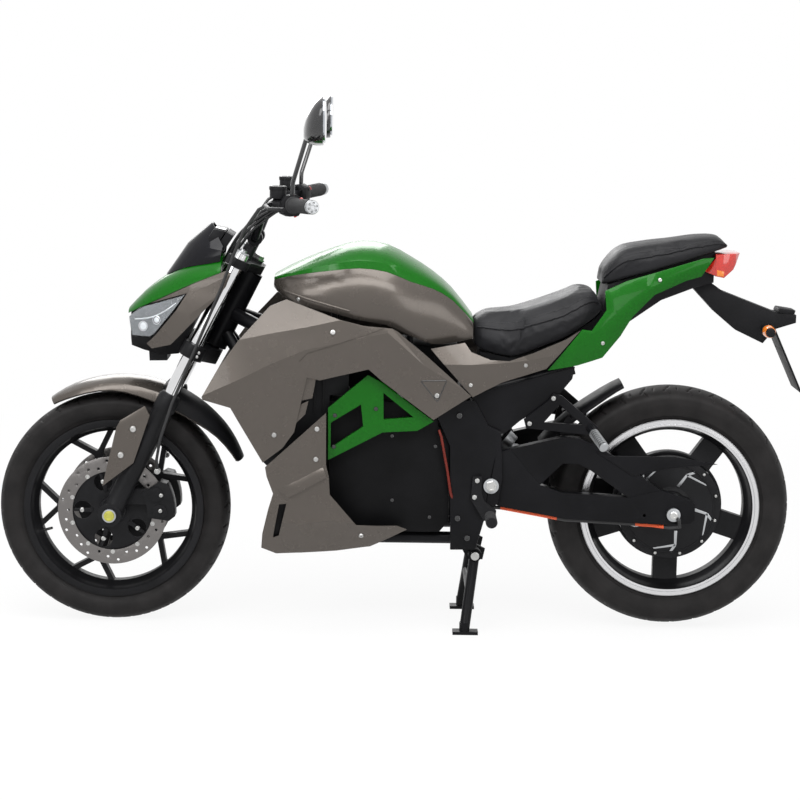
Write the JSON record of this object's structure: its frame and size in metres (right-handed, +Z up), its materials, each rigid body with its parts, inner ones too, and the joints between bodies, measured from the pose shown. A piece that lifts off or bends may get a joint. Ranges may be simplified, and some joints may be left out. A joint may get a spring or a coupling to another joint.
{
  "type": "electric motorcycle",
  "caption": "Naked electric street motorcycle with a hub motor in the rear wheel, faceted body panels, step seat, steered fork and folding centre stand, parked upright on the stand.",
  "frame": {"origin": "on the floor, under the middle of the overall length, in the plane of the wheels", "axes": "+X forward, +Y to the rider's left, +Z up"},
  "size_m": [2.026, 0.76, 1.3432],
  "materials": {
    "frame_black": "satin black paint",
    "cast_black": "matt black coated casting",
    "case_dark": "dark grey coated case",
    "body_green": "glossy metallic green paint",
    "body_graphite": "glossy metallic graphite paint",
    "plastic_black": "grained black plastic",
    "seat_cover": "black synthetic leather",
    "silver_alloy": "satin machined alloy",
    "steel": "brushed steel",
    "chrome": "hard chrome",
    "tyre": "matt black rubber",
    "grip": "moulded black rubber",
    "lens": "clear moulded lens",
    "red_lens": "red moulded lens",
    "mirror": "mirror glass",
    "cable": "orange cable sheath"
  },
  "bodies": {
    "chassis": {"main_frame": "frame_black", "pivot_plates": "frame_black", "battery_case": "case_dark", "controller_box": "case_dark", "trellis_panels": "body_green", "tank_top": "body_green", "tank_body": "body_graphite", "side_shrouds": "body_graphite", "belly_pan": "body_graphite", "tail_sides": "body_graphite", "tail_cowl": "body_green", "rider_seat": "seat_cover", "pillion_seat": "seat_cover", "undertail": "plastic_black", "tail_lamp": "red_lens", "plate_hanger": "plastic_black", "rear_indicators": "plastic_black", "subframe": "frame_black", "swingarm": "frame_black", "arm_braces": "frame_black", "swingarm_tubes": "frame_black", "swingarm_guard": "body_graphite", "rear_axle": "silver_alloy", "hugger": "plastic_black", "shock": "silver_alloy", "rider_pegs": "silver_alloy", "pillion_pegs": "frame_black", "stand_bracket": "frame_black", "rear_caliper": "cast_black", "motor_cable": "cable"},
    "centre_stand": {"centre_stand": "frame_black"},
    "rear_wheel": {"rear_tyre": "tyre", "rear_rim": "cast_black", "hub_motor": "cast_black", "rear_disc": "steel"},
    "front_wheel": {"front_tyre": "tyre", "front_rim": "cast_black", "disc_carriers": "cast_black", "front_discs": "steel"},
    "steering": {"fork_lowers": "cast_black", "stanchions": "chrome", "yokes": "cast_black", "front_axle": "silver_alloy", "front_calipers": "cast_black", "brake_hoses": "grip", "front_fender": "body_graphite", "fork_guards": "body_graphite", "handlebar": "frame_black", "grips": "grip", "hand_controls": "cast_black", "mirrors": "plastic_black", "mirror_glass": "mirror", "cowl_core": "plastic_black", "cowl_top": "body_green", "cowl_sides": "body_graphite", "headlamp": "lens", "fly_screen": "plastic_black", "dash": "plastic_black"}
  },
  "joints": [
    {"name": "steering", "type": "hinge", "parent": "chassis", "child": "steering", "pos_m": [0.68599, 0, 0.27604], "axis": [-0.4462, 0, 0.8949], "range_deg": [-30, 30]},
    {"name": "front_wheel_spin", "type": "hinge", "parent": "steering", "child": "front_wheel", "pos_m": [0.72, 0, 0.293], "axis": [0, 1, 0], "continuous": true},
    {"name": "rear_wheel_spin", "type": "hinge", "parent": "chassis", "child": "rear_wheel", "pos_m": [-0.69, 0, 0.315], "axis": [0, 1, 0], "continuous": true},
    {"name": "centre_stand_fold", "type": "hinge", "parent": "chassis", "child": "centre_stand", "pos_m": [-0.197, 0, 0.196], "axis": [0, 1, 0], "range_deg": [0, 75]}
  ]
}
